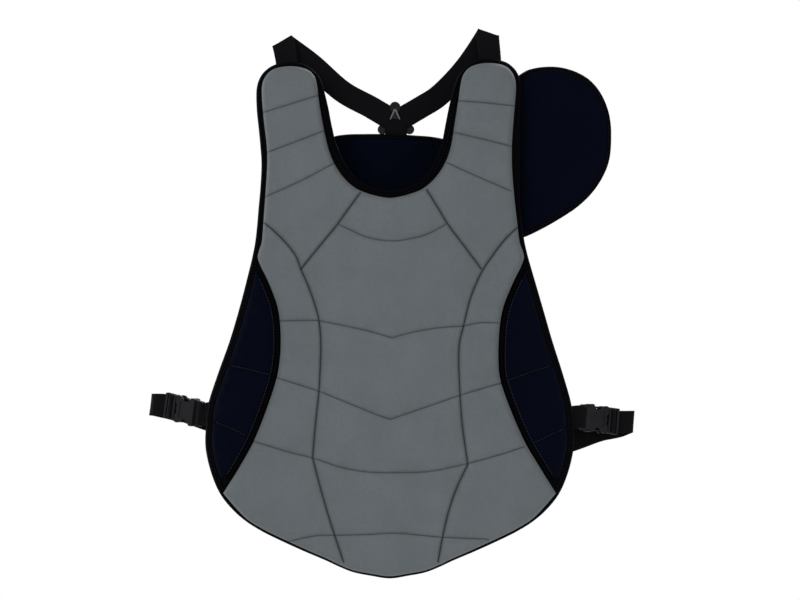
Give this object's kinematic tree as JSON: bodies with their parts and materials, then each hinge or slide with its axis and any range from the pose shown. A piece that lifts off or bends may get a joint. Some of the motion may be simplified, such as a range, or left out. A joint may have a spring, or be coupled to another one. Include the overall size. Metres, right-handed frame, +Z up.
{
  "type": "chest protector",
  "caption": "Waisted padded chest protector with a moulded front shell, a folding shoulder flap, a rear strap harness with a back plate, and side buckles.",
  "frame": {"origin": "on the wearer's face of the vest, on its centre line, level with the lowest point of the neckline", "axes": "+Z up towards the shoulders, +Y from the vest towards the back plate, so the front faces -Y; +X to the right seen from the front"},
  "size_m": [0.5366, 0.1406, 0.6066],
  "materials": {
    "shell_cloth": "matte knitted polyester laminated to moulded foam",
    "pad_cloth": "navy-black brushed polyester, soft sheen",
    "edge_tape": "black ribbed binding tape",
    "liner_mesh": "black spacer mesh",
    "webbing": "black woven polypropylene and elastic webbing",
    "foam": "closed-cell foam, hidden inside the pads",
    "buckle_plastic": "moulded acetal, fine grain"
  },
  "bodies": {
    "vest": {"front_shell": "shell_cloth", "foam_core": "foam", "base_panel": "pad_cloth", "mesh_liner": "liner_mesh", "edge_binding": "edge_tape", "side_pad_left": "pad_cloth", "side_foam_left": "foam", "side_piping_left": "edge_tape", "side_pad_right": "pad_cloth", "side_foam_right": "foam", "side_piping_right": "edge_tape", "shoulder_tab_left": "webbing", "shoulder_tab_right": "webbing", "flap_anchor_strip": "webbing", "waist_tab_left": "webbing", "waist_tab_right": "webbing", "buckle_left_socket": "buckle_plastic", "buckle_right_socket": "buckle_plastic"},
    "flap": {"flap_cover": "pad_cloth", "flap_foam": "foam", "flap_lining": "liner_mesh", "flap_binding": "edge_tape"},
    "harness": {"shoulder_strap_left": "webbing", "shoulder_strap_right": "webbing", "strap_ring": "buckle_plastic", "centre_web": "webbing", "back_plate_cover": "pad_cloth", "back_plate_foam": "foam", "back_plate_lining": "liner_mesh", "back_plate_binding": "edge_tape", "waist_strap_left": "webbing", "waist_strap_right": "webbing"},
    "plug_left": {"buckle_left_plug": "buckle_plastic", "waist_strap_loop_left": "webbing"},
    "arm_left_upper": {"buckle_left_arm_upper": "buckle_plastic"},
    "arm_left_lower": {"buckle_left_arm_lower": "buckle_plastic"},
    "plug_right": {"buckle_right_plug": "buckle_plastic", "waist_strap_loop_right": "webbing"},
    "arm_right_upper": {"buckle_right_arm_upper": "buckle_plastic"},
    "arm_right_lower": {"buckle_right_arm_lower": "buckle_plastic"}
  },
  "joints": [
    {"name": "flap_fold", "type": "hinge", "parent": "vest", "child": "flap", "pos_m": [0.142, 0.0362, 0.0435], "axis": [0, 0, 1], "range_deg": [0, 90]},
    {"name": "harness_swing", "type": "hinge", "parent": "vest", "child": "harness", "pos_m": [0, 0.0365, 0.1774], "axis": [1, 0, 0], "range_deg": [0, 60]},
    {"name": "buckle_left_release", "type": "slide", "parent": "vest", "child": "plug_left", "axis": [-0.7202, 0.6716, 0.1736], "range_m": [0, 0.03]},
    {"name": "buckle_left_upper_press", "type": "hinge", "parent": "plug_left", "child": "arm_left_upper", "pos_m": [-0.23496, 0.08309, -0.22905], "axis": [0.682, 0.7314, 0], "range_deg": [0, 9], "stiffness_Nm_per_rad": 0.05, "springref_deg": -2.86},
    {"name": "buckle_left_lower_press", "type": "hinge", "parent": "plug_left", "child": "arm_left_lower", "pos_m": [-0.2376, 0.08555, -0.24953], "axis": [-0.682, -0.7314, 0], "range_deg": [0, 9], "stiffness_Nm_per_rad": 0.05, "springref_deg": -2.86},
    {"name": "buckle_right_release", "type": "slide", "parent": "vest", "child": "plug_right", "axis": [0.7273, 0.6783, -0.1045], "range_m": [0, 0.03]},
    {"name": "buckle_right_upper_press", "type": "hinge", "parent": "plug_right", "child": "arm_right_upper", "pos_m": [0.24159, 0.08536, -0.2428], "axis": [0.682, -0.7314, 0], "range_deg": [0, 9], "stiffness_Nm_per_rad": 0.05, "springref_deg": -2.86},
    {"name": "buckle_right_lower_press", "type": "hinge", "parent": "plug_right", "child": "arm_right_lower", "pos_m": [0.24, 0.08387, -0.26348], "axis": [-0.682, 0.7314, 0], "range_deg": [0, 9], "stiffness_Nm_per_rad": 0.05, "springref_deg": -2.86}
  ]
}
